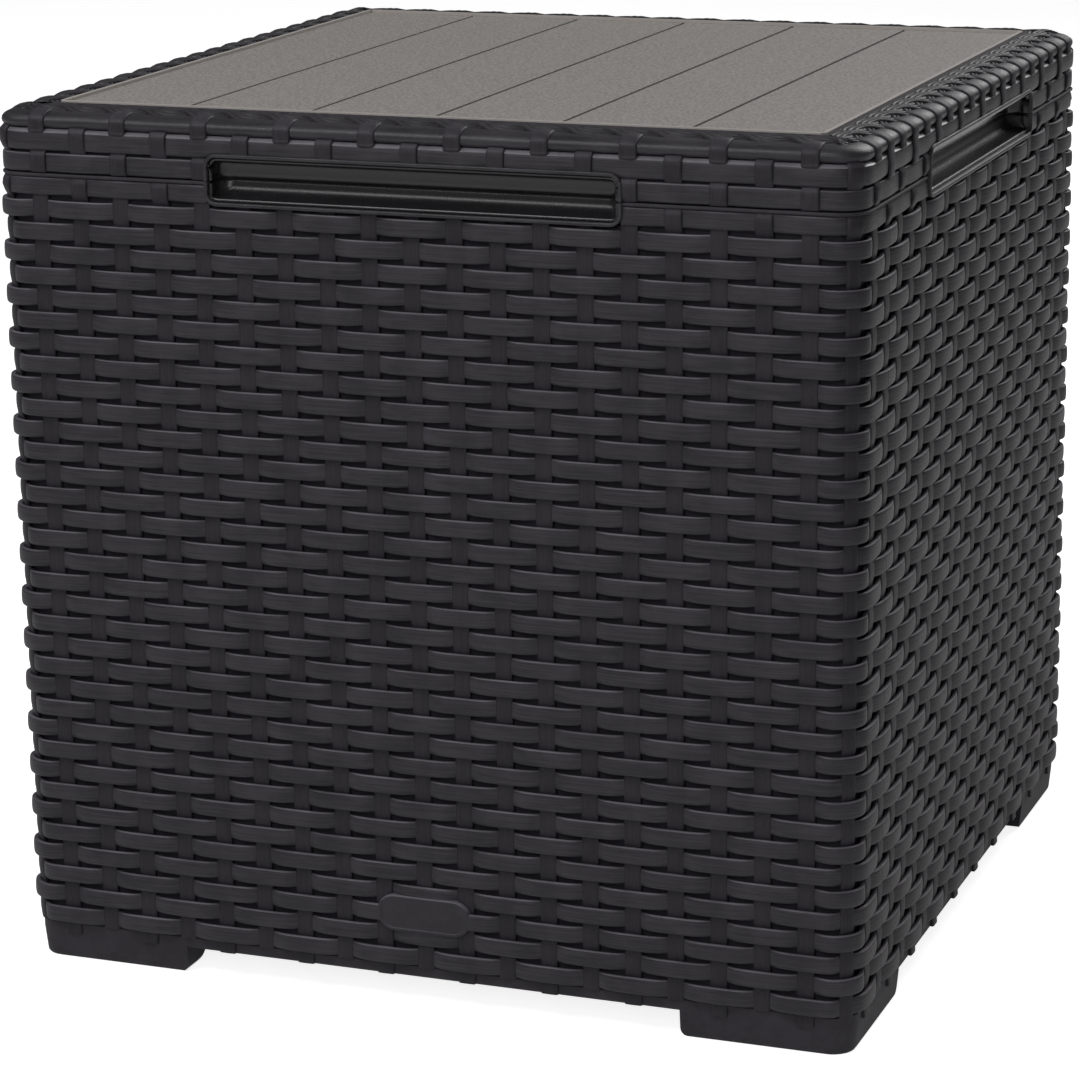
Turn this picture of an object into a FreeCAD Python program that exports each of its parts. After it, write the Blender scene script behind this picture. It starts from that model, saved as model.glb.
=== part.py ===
"""Wicker-look resin box with a lift-off table top, sized to stand over a gas tank.

Millimetres. +Z up, +X right, front face towards -Y. Origin at the middle of the footprint, on the ground.
"""
import math
import os

import FreeCAD
import Part

V = FreeCAD.Vector

# Weave grid, which sets the plan size of the box
COLUMN_PITCH = 27.0
ROW_PITCH = 13.8
LAST_COLUMN = 18
MIDDLE_COLUMN = 9
LAST_ROW = 34
ROW_0_Z = 500.2
STRAND_HEIGHT = 10.8

# Depths are measured outward from the face of the upright strands
HALF_WIDTH = 274.0
CORNER_RADIUS = 19.0
STRAND_CREST = 2.0
STRAND_FACE = 0.6
BAND_DEPTH = -2.2
RIM_DEPTH = 0.5
SKIN_OUT = -4.0
SKIN_IN = -7.5
BITE = 0.5
CLEAR = 1.0

# Levels of the walls
WALL_BOTTOM = 17.2
WALL_TOP = 508.0
BAND_TOP = 24.6
RIM_BOTTOM = 506.2
SEAM_COLUMN = 1
SEAM_BESIDE = 6.0
CORNER_FACETS = 2
SKIN_FACETS = 1

# Joint between the wrapped end panels and the side panels
SEAM_GAP = 0.15
STRAND_END = 0.8
TONGUE_DEPTH = 14.0
TONGUE_ROOT = 12.0
TONGUE_THICK = 3.6
TONGUE_BOTTOM = 31.0
TONGUE_TOP = 479.0
CHANNEL_WALL = 2.4
CHANNEL_MOUTH = 4.0
FIT_GAP = 0.3

# Ribs inside the walls, and the rim above them that locates the lid
RIB_COLUMNS = (4, 9, 14)
RIB_REACH = 9.0
RIB_THICK = 2.4
RIB_BOTTOM = 28.0
RIB_TOP = 483.0
UPSTAND_OUT = -7.0
UPSTAND_IN = -10.0
UPSTAND_BOTTOM = 495.0
UPSTAND_TOP = 515.0
UPSTAND_START = 135.0
UPSTAND_END = 253.0

# Flange under the walls, and the feet
FLANGE_IN = -34.0
FLANGE_THICK = 3.2
FOOT_END = 164.0
FOOT_DRAFT = 2.6
FOOT_DEPTH_TOP = 32.0
FOOT_DEPTH_BOTTOM = 13.0

# Finger recess shared by the lid and each wall
GRIP_HALF = 131.7
GRIP_LIP = 2.6
GRIP_CORNER = 8.0
GRIP_FACETS = 2
GRIP_BOTTOM = 493.6
GRIP_TOP = 525.1
GRIP_DEPTH = -22.0
GRIP_WALL = 2.5
GRIP_BACK_SEAM = 505.0
GRIP_STEP = 7.5
GRIP_CEILING_CUT = 4.0
SCOOP_FLOOR = 491.2
SCOOP_RISE = 9.0
SCOOP_FACETS = 3

# Lid
LID_BOTTOM = 508.4
LID_SKIRT_IN = -6.6
LID_COURSES = (514.2, 528.3)
ROLL_BOTTOM = 535.6
ROLL_TOP = 547.0
ROLL_IN = -14.0
ROLL_RADIUS = 8.0
ROLL_UNDER = 2.5
ROLL_FACETS = 2
BORDER_TOP = 546.0
BORDER_BOTTOM = 542.6
LEDGE_BOTTOM = 539.4
LEDGE_HALF = 236.0
STRAP_COLUMNS = range(0, LAST_COLUMN + 1, 2)
LONG_STRAP_COLUMNS = range(1, LAST_COLUMN, 2)
STRAP_WIDTH = 10.6
STRAP_THICK = 1.2
STRAP_RISE = 0.8
STRAP_FOOT = 532.3
LONG_STRAP_FOOT = 524.6
STRAP_TAIL = 5.0

# Plank insert in the lid
PANEL_HALF = 243.0
PANEL_CHAMFER = 3.0
PANEL_FACE = 546.2
PANEL_LIP_TOP = 548.0
PANEL_LIP = 2.8
PLANKS = 6
GROOVE_WIDTH = 2.6
GROOVE_DEPTH = 1.3
PANEL_RIB_REACH = 228.0
PANEL_RIB_BOTTOM = 530.0
PANEL_RIBS = 3

# Floor
FLOOR_HALF = 265.2
FLOOR_CORNER = 243.0
FLOOR_TOP = 24.0
FLOOR_RIB_PLACES = (-80.0, 80.0)
FLOOR_RIB_REACH = 225.0
FLOOR_RIB_BOTTOM = 10.0
VENT_PLACES = (-45.0, 45.0)
VENT_START = 140.0
VENT_LENGTH = 50.0
VENT_WIDTH = 12.0

# Plaque on the front
PLAQUE_LENGTH = 61.0
PLAQUE_HEIGHT = 22.6
PLAQUE_Z = 59.4
PLAQUE_SEAT = -1.5
PLAQUE_RIM = 1.6
PLAQUE_SINK = 0.6
PLAQUE_FACETS = 5
PLAQUE_GAP = 0.2
PAD_MARGIN = 2.0

QUARTER_ARC = math.pi * CORNER_RADIUS / 2
FLAT_HALF = HALF_WIDTH - CORNER_RADIUS
SEAM_Y = (MIDDLE_COLUMN - SEAM_COLUMN) * COLUMN_PITCH + SEAM_BESIDE
FLANGE_TOP = WALL_BOTTOM + FLANGE_THICK
QUARTER_TURNS = (0, 90, 180, 270)


def at_depth(depth):
    """Distance of a face from the middle of the box."""
    return HALF_WIDTH + depth


def column_s(column):
    """Distance of an upright strand from the middle of its face, round the corner too."""
    return (column - MIDDLE_COLUMN) * COLUMN_PITCH


def on_path(s, depth):
    """Plan point of the front face and its corners, s along the face and depth outward."""
    side = 1 if s >= 0 else -1
    run = abs(s)
    if run <= FLAT_HALF:
        return V(s, -at_depth(depth), 0)
    if run <= FLAT_HALF + QUARTER_ARC:
        angle = (run - FLAT_HALF) / CORNER_RADIUS
        reach = CORNER_RADIUS + depth
        return V(side * (FLAT_HALF + reach * math.sin(angle)), -FLAT_HALF - reach * math.cos(angle), 0)
    return V(side * at_depth(depth), -FLAT_HALF + run - FLAT_HALF - QUARTER_ARC, 0)


def front_path(depth, facets):
    """Plan line of the front face at a depth, with its corners in facets, or sharp where it is deep."""
    if CORNER_RADIUS + depth <= 0:
        reach = at_depth(depth)
        return [V(-reach, -reach, 0), V(reach, -reach, 0)]
    stations = []
    for side in (-1, 1):
        for n in range(facets + 1):
            stations.append(side * (FLAT_HALF + QUARTER_ARC * n / facets))
    return [on_path(s, depth) for s in sorted(stations)]


def prism(points, bottom, top):
    """Upright solid from a closed list of plan points."""
    corners = [V(p.x, p.y, bottom) for p in points]
    wire = Part.makePolygon(corners + corners[:1])
    return Part.Face(wire).extrude(V(0, 0, top - bottom))


def block(x_a, x_b, y_a, y_b, z_a, z_b):
    return Part.makeBox(x_b - x_a, y_b - y_a, z_b - z_a, V(x_a, y_a, z_a))


def mirrored(shape):
    return shape.mirror(V(0, 0, 0), V(1, 0, 0))


def turned(shape, degrees):
    copy = shape.copy()
    copy.rotate(V(0, 0, 0), V(0, 0, 1), degrees)
    return copy


def on_four_sides(shape):
    return [turned(shape, degrees) for degrees in QUARTER_TURNS]


def four_sided_ring(points):
    """Closed plan outline of the whole box from the points that belong to its front face."""
    outline = []
    for degrees in QUARTER_TURNS:
        rotation = FreeCAD.Rotation(V(0, 0, 1), degrees)
        outline += [rotation.multVec(p) for p in points]
    return outline


def rounded_bar(half, bottom, top, radius, facets, y_a, y_b):
    """Solid with a rounded rectangle as its front outline, from y_a to y_b."""
    points = []
    for quarter, (side, level) in enumerate(((1, bottom + radius), (1, top - radius),
                                             (-1, top - radius), (-1, bottom + radius))):
        for n in range(facets + 1):
            angle = math.pi / 2 * (quarter - 1 + n / facets)
            x = side * (half - radius) + radius * math.cos(angle)
            point = V(x, y_a, level + radius * math.sin(angle))
            if not points or (point - points[-1]).Length > 0.01:
                points.append(point)
    if (points[0] - points[-1]).Length < 0.01:
        points.pop()
    return Part.Face(Part.makePolygon(points + points[:1])).extrude(V(0, y_b - y_a, 0))


# Courses of the weave

def course_levels(z):
    return z - STRAND_HEIGHT / 2, z + STRAND_HEIGHT / 2


def wall_courses(shell):
    """Level courses of a wall, each a little short of the seams."""
    courses = []
    for row in range(LAST_ROW + 1):
        bottom, top = course_levels(ROW_0_Z - row * ROW_PITCH)
        courses.append(shell(STRAND_FACE, SKIN_OUT - BITE, bottom, top, end=STRAND_END))
    return courses


def upright(column, bottom, top):
    """Upright strand laid over one or more courses."""
    left = column_s(column) - STRAP_WIDTH / 2
    face = -at_depth(STRAND_CREST)
    return block(left, left + STRAP_WIDTH, face, -at_depth(SKIN_OUT - BITE), bottom, top)


def clear_columns(columns, reach):
    """The columns whose strands lie beside the finger recess and within reach of the middle of the face."""
    places = [(column, abs(column_s(column))) for column in columns]
    return [column for column, s in places if GRIP_HALF < s < reach]


def ring_outline(depth, facets):
    return four_sided_ring([p for p in front_path(depth, facets) if p.x > 0])


def ring(out, inn, bottom, top):
    """Course or skirt that runs all the way round the box."""
    hole = prism(ring_outline(inn, SKIN_FACETS), bottom - CLEAR, top + CLEAR)
    return prism(ring_outline(out, CORNER_FACETS), bottom, top).cut(hole)


# Finger recess

def grip_space():
    """The hand space: rounded ends, a scooped floor and an upright back."""
    front = -at_depth(STRAND_CREST + CLEAR)
    behind_lip = -at_depth(STRAND_CREST - GRIP_LIP)
    back = -at_depth(GRIP_DEPTH)
    lip = GRIP_BOTTOM + GRIP_LIP
    ceiling = GRIP_TOP - GRIP_LIP
    outline = [V(0, front, ceiling), V(0, front, lip), V(0, behind_lip, lip)]
    for n in range(SCOOP_FACETS + 1):
        share = n / SCOOP_FACETS
        y = behind_lip + (back - behind_lip) * share
        outline.append(V(0, y, SCOOP_FLOOR + SCOOP_RISE * share ** 2))
    outline += [V(0, back, ceiling - GRIP_CEILING_CUT), V(0, back - GRIP_CEILING_CUT, ceiling)]
    half = GRIP_HALF - GRIP_LIP
    profile = Part.Face(Part.makePolygon(outline + outline[:1]))
    profile.translate(V(-half, 0, 0))
    radius = GRIP_CORNER - GRIP_LIP
    ends = rounded_bar(half, SCOOP_FLOOR - CLEAR, ceiling, radius, GRIP_FACETS, front - CLEAR, back + CLEAR)
    return profile.extrude(V(2 * half, 0, 0)).common(ends)


def grip_outline_bar(y_a, y_b):
    return rounded_bar(GRIP_HALF, GRIP_BOTTOM, GRIP_TOP, GRIP_CORNER, GRIP_FACETS, y_a, y_b)


def grip_cup(bottom, top):
    """Moulded cup and raised frame round the hand space, between two levels."""
    front = -at_depth(STRAND_CREST)
    back = -at_depth(GRIP_DEPTH - GRIP_WALL)
    frame = grip_outline_bar(front, -at_depth(SKIN_IN))
    hull_bottom = SCOOP_FLOOR - GRIP_WALL
    hull = block(-GRIP_HALF, GRIP_HALF, -at_depth(SKIN_IN + BITE), back, hull_bottom, GRIP_TOP)
    toe_top = GRIP_BOTTOM + CLEAR
    toe = block(-GRIP_HALF, GRIP_HALF, -at_depth(SKIN_OUT), -at_depth(SKIN_IN), hull_bottom, toe_top)
    keep = block(-GRIP_HALF, GRIP_HALF, front, back, bottom, top)
    return frame.fuse([hull, toe]).common(keep).cut(grip_space())


def grip_window():
    """What is taken out of the weave so that the cup can fill it."""
    return grip_outline_bar(-at_depth(STRAND_CREST + CLEAR), -at_depth(SKIN_IN - CLEAR))


def wall_grip():
    """Lower half of the hand space, with its back wall cut down for the lid's."""
    cup = grip_cup(SCOOP_FLOOR - GRIP_WALL, WALL_TOP)
    rear = -at_depth(GRIP_DEPTH + GRIP_WALL)
    step = block(-GRIP_HALF, GRIP_HALF, rear, rear + GRIP_STEP, GRIP_BACK_SEAM, WALL_TOP + CLEAR)
    return cup.cut(step)


def lid_grip():
    """Upper half of the hand space: its back wall drops to meet the wall's half."""
    cup = grip_cup(GRIP_BACK_SEAM + FIT_GAP, GRIP_TOP)
    front = -at_depth(STRAND_CREST + CLEAR)
    rear = -at_depth(GRIP_DEPTH + BITE)
    return cup.cut(block(-GRIP_HALF, GRIP_HALF, front, rear, GRIP_BACK_SEAM, LID_BOTTOM))


# Walls

def wrapped_shell(out, inn, bottom, top, end=SEAM_GAP):
    """Front face with its corners and the short returns, which stop an end short of the seams."""
    y = -SEAM_Y - end
    facets = CORNER_FACETS if out > SKIN_OUT else SKIN_FACETS
    outer = [V(-at_depth(out), y, 0)] + front_path(out, facets) + [V(at_depth(out), y, 0)]
    inner = [V(-at_depth(inn), y, 0)] + front_path(inn, SKIN_FACETS) + [V(at_depth(inn), y, 0)]
    return prism(outer + inner[::-1], bottom, top)


def flat_shell(out, inn, bottom, top, end=SEAM_GAP):
    """Flat side face, which stops an end short of the seams."""
    x = SEAM_Y - end
    return block(-x, x, -at_depth(out), -at_depth(inn), bottom, top)


def foot_section(z, out, inn, end, wrapped):
    """Closed plan line of one foot at a level, round the corner or only up to the seam."""
    if not wrapped:
        start = SEAM_Y - SEAM_GAP
        points = [V(end, -out, z), V(start, -out, z), V(start, -inn, z), V(end, -inn, z)]
        return Part.makePolygon(points + points[:1])
    radius = out - FLAT_HALF
    seam = -SEAM_Y - SEAM_GAP
    points = [V(end, -out, z)]
    for n in range(CORNER_FACETS + 1):
        angle = math.pi / 2 * n / CORNER_FACETS
        points.append(V(FLAT_HALF + radius * math.sin(angle), -FLAT_HALF - radius * math.cos(angle), z))
    points += [V(out, seam, z), V(inn, seam, z), V(inn, -inn, z), V(end, -inn, z)]
    return Part.makePolygon(points + points[:1])


def foot(wrapped):
    """Foot that narrows downward on every side but the seam."""
    out_top = at_depth(SKIN_OUT)
    out_low = out_top - FOOT_DRAFT
    top = foot_section(WALL_BOTTOM, out_top, out_top - FOOT_DEPTH_TOP, FOOT_END, wrapped)
    low = foot_section(0, out_low, out_low - FOOT_DEPTH_BOTTOM, FOOT_END + FOOT_DRAFT, wrapped)
    return Part.makeLoft([top, low], True, True)


def wall_ribs():
    """Upright stiffeners on the inside of a wall."""
    outer = -at_depth(SKIN_IN + BITE)
    ribs = []
    for column in RIB_COLUMNS:
        left = column_s(column) - RIB_THICK / 2
        ribs.append(block(left, left + RIB_THICK, outer, outer + RIB_REACH, RIB_BOTTOM, RIB_TOP))
    return ribs


def upstand(end):
    """Rim on each side of the finger recess that locates the lid."""
    out, inn = -at_depth(UPSTAND_OUT), -at_depth(UPSTAND_IN)
    return block(UPSTAND_START, end, out, inn, UPSTAND_BOTTOM, UPSTAND_TOP)


def channel():
    """Slot behind the return of an end panel that the side panel's tongue slides down."""
    skin = at_depth(SKIN_IN)
    lip_x = skin - TONGUE_THICK - 2 * FIT_GAP
    root = SEAM_Y + TONGUE_DEPTH + FIT_GAP
    low = TONGUE_BOTTOM - CLEAR
    top = TONGUE_TOP + CLEAR
    lip = block(lip_x - CHANNEL_WALL, lip_x, -root - CHANNEL_WALL, -SEAM_Y - CHANNEL_MOUTH, low, top)
    web = block(lip_x - BITE, skin + BITE, -root - CHANNEL_WALL, -root, low, top)
    return lip.fuse(web)


def tongue():
    """Edge of a side panel that slides down the channel of an end panel."""
    face = -at_depth(SKIN_IN)
    start = SEAM_Y - TONGUE_ROOT
    blade = block(start, SEAM_Y + TONGUE_DEPTH, face + FIT_GAP, face + FIT_GAP + TONGUE_THICK,
                  TONGUE_BOTTOM, TONGUE_TOP)
    root = block(start, SEAM_Y - SEAM_GAP, face - BITE, face + FIT_GAP + BITE, TONGUE_BOTTOM, TONGUE_TOP)
    return blade.fuse(root)


def wall(shell, pairs, reach):
    """A wall from its shell function, the pieces it has at both ends and how far its uprights reach."""
    skin = shell(SKIN_OUT, SKIN_IN, WALL_BOTTOM, WALL_TOP)
    band = shell(BAND_DEPTH, SKIN_OUT - BITE, WALL_BOTTOM, BAND_TOP)
    rim = shell(RIM_DEPTH, SKIN_OUT - BITE, RIM_BOTTOM, WALL_TOP)
    flange = shell(SKIN_IN + BITE, FLANGE_IN, WALL_BOTTOM, FLANGE_TOP)
    parts = [band, rim, flange] + wall_courses(shell) + wall_ribs()
    for piece in pairs:
        parts += [piece, mirrored(piece)]
    for column in clear_columns(LONG_STRAP_COLUMNS, reach):
        parts.append(upright(column, course_levels(ROW_0_Z)[0], RIM_BOTTOM + BITE))
    return skin.fuse(parts).cut(grip_window()).fuse(wall_grip()).removeSplitter()


def end_panel():
    """Front or back wall with both corners, its share of the feet and the channels for the sides."""
    return wall(wrapped_shell, [foot(True), upstand(UPSTAND_END), channel()], FLAT_HALF)


def side_panel():
    """Side wall, drawn facing front: flat, with a tongue down each edge."""
    return wall(flat_shell, [foot(False), upstand(SEAM_Y - SEAM_GAP), tongue()], SEAM_Y)


# Plaque

def plaque_bar(margin, y_a, y_b):
    half = PLAQUE_LENGTH / 2 + margin
    high = PLAQUE_HEIGHT / 2 + margin
    return rounded_bar(half, PLAQUE_Z - high, PLAQUE_Z + high, high, PLAQUE_FACETS, y_a, y_b)


def plaque():
    """Blank oval plate with a raised border."""
    front = -at_depth(STRAND_CREST)
    plate = plaque_bar(0, front, -at_depth(PLAQUE_SEAT))
    return plate.cut(plaque_bar(-PLAQUE_RIM, front - CLEAR, front + PLAQUE_SINK))


def with_plaque_seat(panel):
    """The front wall with a flat pad across the gaps of the weave for the plaque."""
    pad = plaque_bar(PAD_MARGIN, -at_depth(PLAQUE_SEAT), -at_depth(SKIN_OUT - BITE))
    room = plaque_bar(PLAQUE_GAP, -at_depth(STRAND_CREST + CLEAR), -at_depth(PLAQUE_SEAT))
    return panel.fuse(pad).cut(room).removeSplitter()


# Lid

def roll_level(share):
    """Depth and level of the rolled edge, from its outermost line to its top."""
    angle = math.pi / 2 * share
    depth = STRAND_CREST - STRAP_THICK - ROLL_RADIUS * (1 - math.cos(angle))
    return depth, ROLL_TOP - ROLL_RADIUS * (1 - math.sin(angle))


def rolled_edge():
    """Rounded top course of the lid: tapered rings from its shadowed underside to its top."""
    levels = [(STRAND_CREST - STRAP_THICK - ROLL_UNDER, ROLL_BOTTOM)]
    levels += [roll_level(n / ROLL_FACETS) for n in range(ROLL_FACETS + 1)]
    rings = []
    for low, high in zip(levels, levels[1:]):
        wires = []
        for depth, z in (low, high):
            points = [V(p.x, p.y, z) for p in ring_outline(depth, CORNER_FACETS)]
            wires.append(Part.makePolygon(points + points[:1]))
        rings.append(Part.makeLoft(wires, True, True))
    hole = prism(ring_outline(ROLL_IN, CORNER_FACETS), ROLL_BOTTOM - CLEAR, ROLL_TOP + CLEAR)
    return rings[0].fuse(rings[1:]).cut(hole)


def strap(column, foot_level):
    """Upright strand that laps over the rolled edge of the lid."""
    reach = -at_depth(STRAND_CREST)
    inside = reach + 2 * STRAP_THICK
    top = ROLL_TOP + STRAP_RISE
    tail = reach + ROLL_RADIUS + STRAP_TAIL
    outline = [V(0, inside, foot_level), V(0, reach, foot_level), V(0, reach, top - ROLL_RADIUS)]
    middle = ROLL_RADIUS * (1 - math.sqrt(0.5))
    outline += [V(0, reach + middle, top - middle), V(0, reach + ROLL_RADIUS, top), V(0, tail, top)]
    outline += [V(0, tail, ROLL_TOP - STRAP_THICK)]
    strip = Part.Face(Part.makePolygon(outline + outline[:1]))
    strip.translate(V(column_s(column) - STRAP_WIDTH / 2, 0, 0))
    return strip.extrude(V(STRAP_WIDTH, 0, 0))


def square_frame(half, bottom, top):
    """Flat frame from the skirt to a square opening."""
    plate = prism(ring_outline(SKIN_OUT - BITE, SKIN_FACETS), bottom, top)
    return plate.cut(block(-half, half, -half, half, bottom - CLEAR, top + CLEAR))


def lid_strands():
    """Uprights of the lid: even ones over the lower course and the roll, odd ones over the upper course.

    On the left and right the odd ones run on over the roll, too.
    """
    low, high = (course_levels(z) for z in LID_COURSES)
    strands = []
    for column in STRAP_COLUMNS:
        strands += on_four_sides(strap(column, STRAP_FOOT))
    for column in clear_columns(STRAP_COLUMNS, FLAT_HALF):
        strands += on_four_sides(upright(column, LID_BOTTOM, low[1]))
    for column in LONG_STRAP_COLUMNS:
        short = upright(column, LONG_STRAP_FOOT, high[1])
        strands += [turned(short, degrees) for degrees in (0, 180)]
        strands += [turned(strap(column, LONG_STRAP_FOOT), degrees) for degrees in (90, 270)]
    return strands


def lid_rim():
    """Wicker border of the lid: skirt, rolled edge, straps and the ledge that the planks rest on."""
    rim = ring(SKIN_OUT, LID_SKIRT_IN, LID_BOTTOM, BORDER_TOP)
    ledge = square_frame(LEDGE_HALF, LEDGE_BOTTOM, BORDER_BOTTOM)
    border = square_frame(PANEL_HALF + FIT_GAP, BORDER_BOTTOM, BORDER_TOP)
    courses = [ring(STRAND_FACE, SKIN_OUT - BITE, *course_levels(z)) for z in LID_COURSES]
    rim = rim.fuse([ledge, border, rolled_edge()] + courses + lid_strands())
    rim = rim.cut(on_four_sides(grip_window()))
    return rim.fuse(on_four_sides(lid_grip())).removeSplitter()


def crossed_ribs(places, reach, bottom, top):
    """Ribs both ways, as a grid."""
    ribs = []
    for at in places:
        low = at - RIB_THICK / 2
        high = at + RIB_THICK / 2
        ribs.append(block(low, high, -reach, reach, bottom, top))
        ribs.append(block(-reach, reach, low, high, bottom, top))
    return ribs


def plank_groove(x, reach):
    """V-shaped groove between two planks."""
    vee = [V(x - GROOVE_WIDTH / 2, -reach, PANEL_FACE), V(x + GROOVE_WIDTH / 2, -reach, PANEL_FACE),
           V(x, -reach, PANEL_FACE - GROOVE_DEPTH)]
    return Part.Face(Part.makePolygon(vee + vee[:1])).extrude(V(0, 2 * reach, 0))


def plank_top():
    """Plank insert: one moulding with grooves, a raised lip and ribs underneath."""
    plate = block(-PANEL_HALF, PANEL_HALF, -PANEL_HALF, PANEL_HALF, BORDER_BOTTOM, PANEL_LIP_TOP)
    upright = [e for e in plate.Edges if e.BoundBox.ZLength > CLEAR]
    plate = plate.makeChamfer(PANEL_CHAMFER, upright)
    field = PANEL_HALF - PANEL_LIP
    cuts = [block(-field, field, -field, field, PANEL_FACE, PANEL_LIP_TOP + CLEAR)]
    for n in range(1, PLANKS):
        cuts.append(plank_groove(-field + 2 * field * n / PLANKS, field))
    steps = range(PANEL_RIBS)
    places = [PANEL_RIB_REACH * (2 * n / (PANEL_RIBS - 1) - 1) for n in steps]
    ribs = crossed_ribs(places, PANEL_RIB_REACH, PANEL_RIB_BOTTOM, BORDER_BOTTOM + BITE)
    return plate.cut(cuts).fuse(ribs).removeSplitter()


# Floor

def floor_panel():
    """Floor that rests on the wall flanges, with vent slots and ribs underneath."""
    half = FLOOR_HALF
    corner = [V(FLOOR_CORNER, -half, 0), V(half, -FLOOR_CORNER, 0)]
    plate = prism(four_sided_ring(corner), FLANGE_TOP, FLOOR_TOP)
    vents = []
    for x in VENT_PLACES:
        vent = block(x - VENT_WIDTH / 2, x + VENT_WIDTH / 2, VENT_START, VENT_START + VENT_LENGTH,
                     FLANGE_TOP - CLEAR, FLOOR_TOP + CLEAR)
        vents += on_four_sides(vent)
    ribs = crossed_ribs(FLOOR_RIB_PLACES, FLOOR_RIB_REACH, FLOOR_RIB_BOTTOM, FLANGE_TOP + BITE)
    return plate.cut(vents).fuse(ribs).removeSplitter()


def build():
    end = end_panel()
    side = side_panel()
    return {
        "front_panel": with_plaque_seat(end),
        "back_panel": turned(end, 180),
        "right_panel": turned(side, 90),
        "left_panel": turned(side, -90),
        "floor_panel": floor_panel(),
        "front_plaque": plaque(),
        "lid_rim": lid_rim(),
        "lid_plank_top": plank_top(),
    }


os.makedirs("parts", exist_ok=True)
for name, shape in build().items():
    box = shape.BoundBox
    sides = [round(v, 1) for v in (box.XMin, box.XMax, box.YMin, box.YMax, box.ZMin, box.ZMax)]
    volume = round(shape.Volume / 1000, 1)
    print(name, "solids", len(shape.Solids), "valid", shape.isValid(), volume, "cm3", sides)
    shape.exportStep("parts/" + name + ".step")
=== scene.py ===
"""Wicker-look resin box with a lift-off plank top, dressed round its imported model.

Places are in millimetres and become metres where a mesh is made. The front faces -Y, +Z is up.
"""
import math

import bpy
import numpy as np
from mathutils import Matrix, Vector


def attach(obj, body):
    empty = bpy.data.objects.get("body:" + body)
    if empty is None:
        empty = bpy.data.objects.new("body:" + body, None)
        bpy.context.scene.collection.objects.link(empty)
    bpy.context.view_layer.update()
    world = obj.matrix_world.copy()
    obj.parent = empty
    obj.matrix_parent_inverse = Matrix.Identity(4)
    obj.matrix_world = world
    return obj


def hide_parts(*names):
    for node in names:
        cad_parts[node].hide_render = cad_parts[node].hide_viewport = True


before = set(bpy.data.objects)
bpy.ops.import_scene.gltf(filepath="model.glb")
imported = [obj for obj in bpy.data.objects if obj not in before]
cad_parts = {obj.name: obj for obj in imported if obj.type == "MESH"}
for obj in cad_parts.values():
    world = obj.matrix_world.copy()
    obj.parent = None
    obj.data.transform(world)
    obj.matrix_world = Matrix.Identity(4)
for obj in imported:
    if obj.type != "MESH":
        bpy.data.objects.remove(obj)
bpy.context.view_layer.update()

MM = 0.001

# Faces are numbered from the front, to the right
FACE_NAMES = ("front", "right", "back", "left")
FACES = len(FACE_NAMES)

# Weave grid: rows are counted from the top of the wall, columns from just beside the left corner of a face
PITCH = 27.0
ROW = 13.8
ROW_0_Z = 500.2
LAST_ROW = 34
COLUMNS = 20
FIRST_COLUMN = -1
MIDDLE_COLUMN = 9
FACE_RUN = COLUMNS * PITCH
HALF_RUN = FACE_RUN / 2
LOOP_START = -HALF_RUN
LOOP_END = LOOP_START + FACES * FACE_RUN

# Distances between the stations of a sweep
LEVEL_STEP = PITCH / 8
UPRIGHT_STEP = ROW / 4
SWEEP_STEP = PITCH / 6

# How far one part runs on behind another
LAP = 1.0
SKIN_BITE = 0.5

# Plan of the box, with depths measured outward from the face of the upright strands
HALF = 274.0
CORNER = 19.0
FLAT = HALF - CORNER
SKIN_OUT = -5.4
SKIN_IN = -7.5
SEAM = 222.0
SEAM_GAP = 0.15

# Level strands. Those of the sides bulge more evenly and dive deeper than those of the front and back
LEVEL_HALF = 5.35
LEVEL_CREST = 1.95
LEVEL_SHOWN = 0.8
LEVEL_DIVE_END = 1.05
SIDE_DROP = 4.1
FRONT_DROP = 3.3
SIDE_CURVE = 2.6
FRONT_CURVE = 4.5
FLAT_ROW_MID = -0.3
FLAT_ROW_SWING = 0.5
UPPER_MID = 0.5

# Upright strands
UPRIGHT_HALF = 5.45
UPRIGHT_MID = -1.4
UPRIGHT_SWING = 0.6
FLAT_ROW_RISE = 2.2

# Levels of the walls
WALL_BOTTOM = 17.2
BAND_TOP = 25.2
BAND_DEPTH = -2.8
PAD_LOW = 17.8
RIM_BOTTOM = 506.0
RIM_DEPTH = 0.5
WALL_TOP = 508.0

# Levels of the lid
LID_BOTTOM = 508.4
LOWER_COURSE_Z = 514.6
UPPER_COURSE_Z = 527.9
LID_LEVEL_HALF = 5.8
LID_UPRIGHT_TOP = 537.0
LID_UPRIGHT_MID = -2.0

# Finger recess
GRIP_HALF = 131.7
GRIP_BOTTOM = 493.6
GRIP_TOP = 525.1
GRIP_CORNER = 8.0
GRIP_LIP = 2.3
GRIP_DEPTH = -16.0
GRIP_BEND = 11.0
CREST = 2.0
CUP_TOP = GRIP_TOP - GRIP_LIP
CUP_BOTTOM = GRIP_BOTTOM + GRIP_LIP
CUP_THICK = 2.0
CUP_RISE_TOP = 6.0
CUP_RISE_RUN = 10.0
CORNER_POINTS = 7

# Upright strands of the lid: how far out they pass over a course, and where they start and end doing so
EVEN_REACH = 1.2
ODD_REACH = 1.7
EVEN_OVER = (LOWER_COURSE_Z - 7, LOWER_COURSE_Z - 5, LOWER_COURSE_Z + 4, LOWER_COURSE_Z + 9)
ODD_OVER = (UPPER_COURSE_Z - 8, UPPER_COURSE_Z - 3, UPPER_COURSE_Z + 5, UPPER_COURSE_Z + 9)

# What lies behind the strands of the lid, each as outer and inner depth, bottom and top
LID_SKIN = (-5.0, -8.0, GRIP_TOP - LAP, 543.0)
LID_SKIN_LOW = (-5.0, -8.0, LID_BOTTOM, GRIP_TOP)
TRAY = (-6.0, -38.0, 539.4, 542.6)
PLANK_EDGE = (-28.0, -30.9, 541.0, 547.1)

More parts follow.
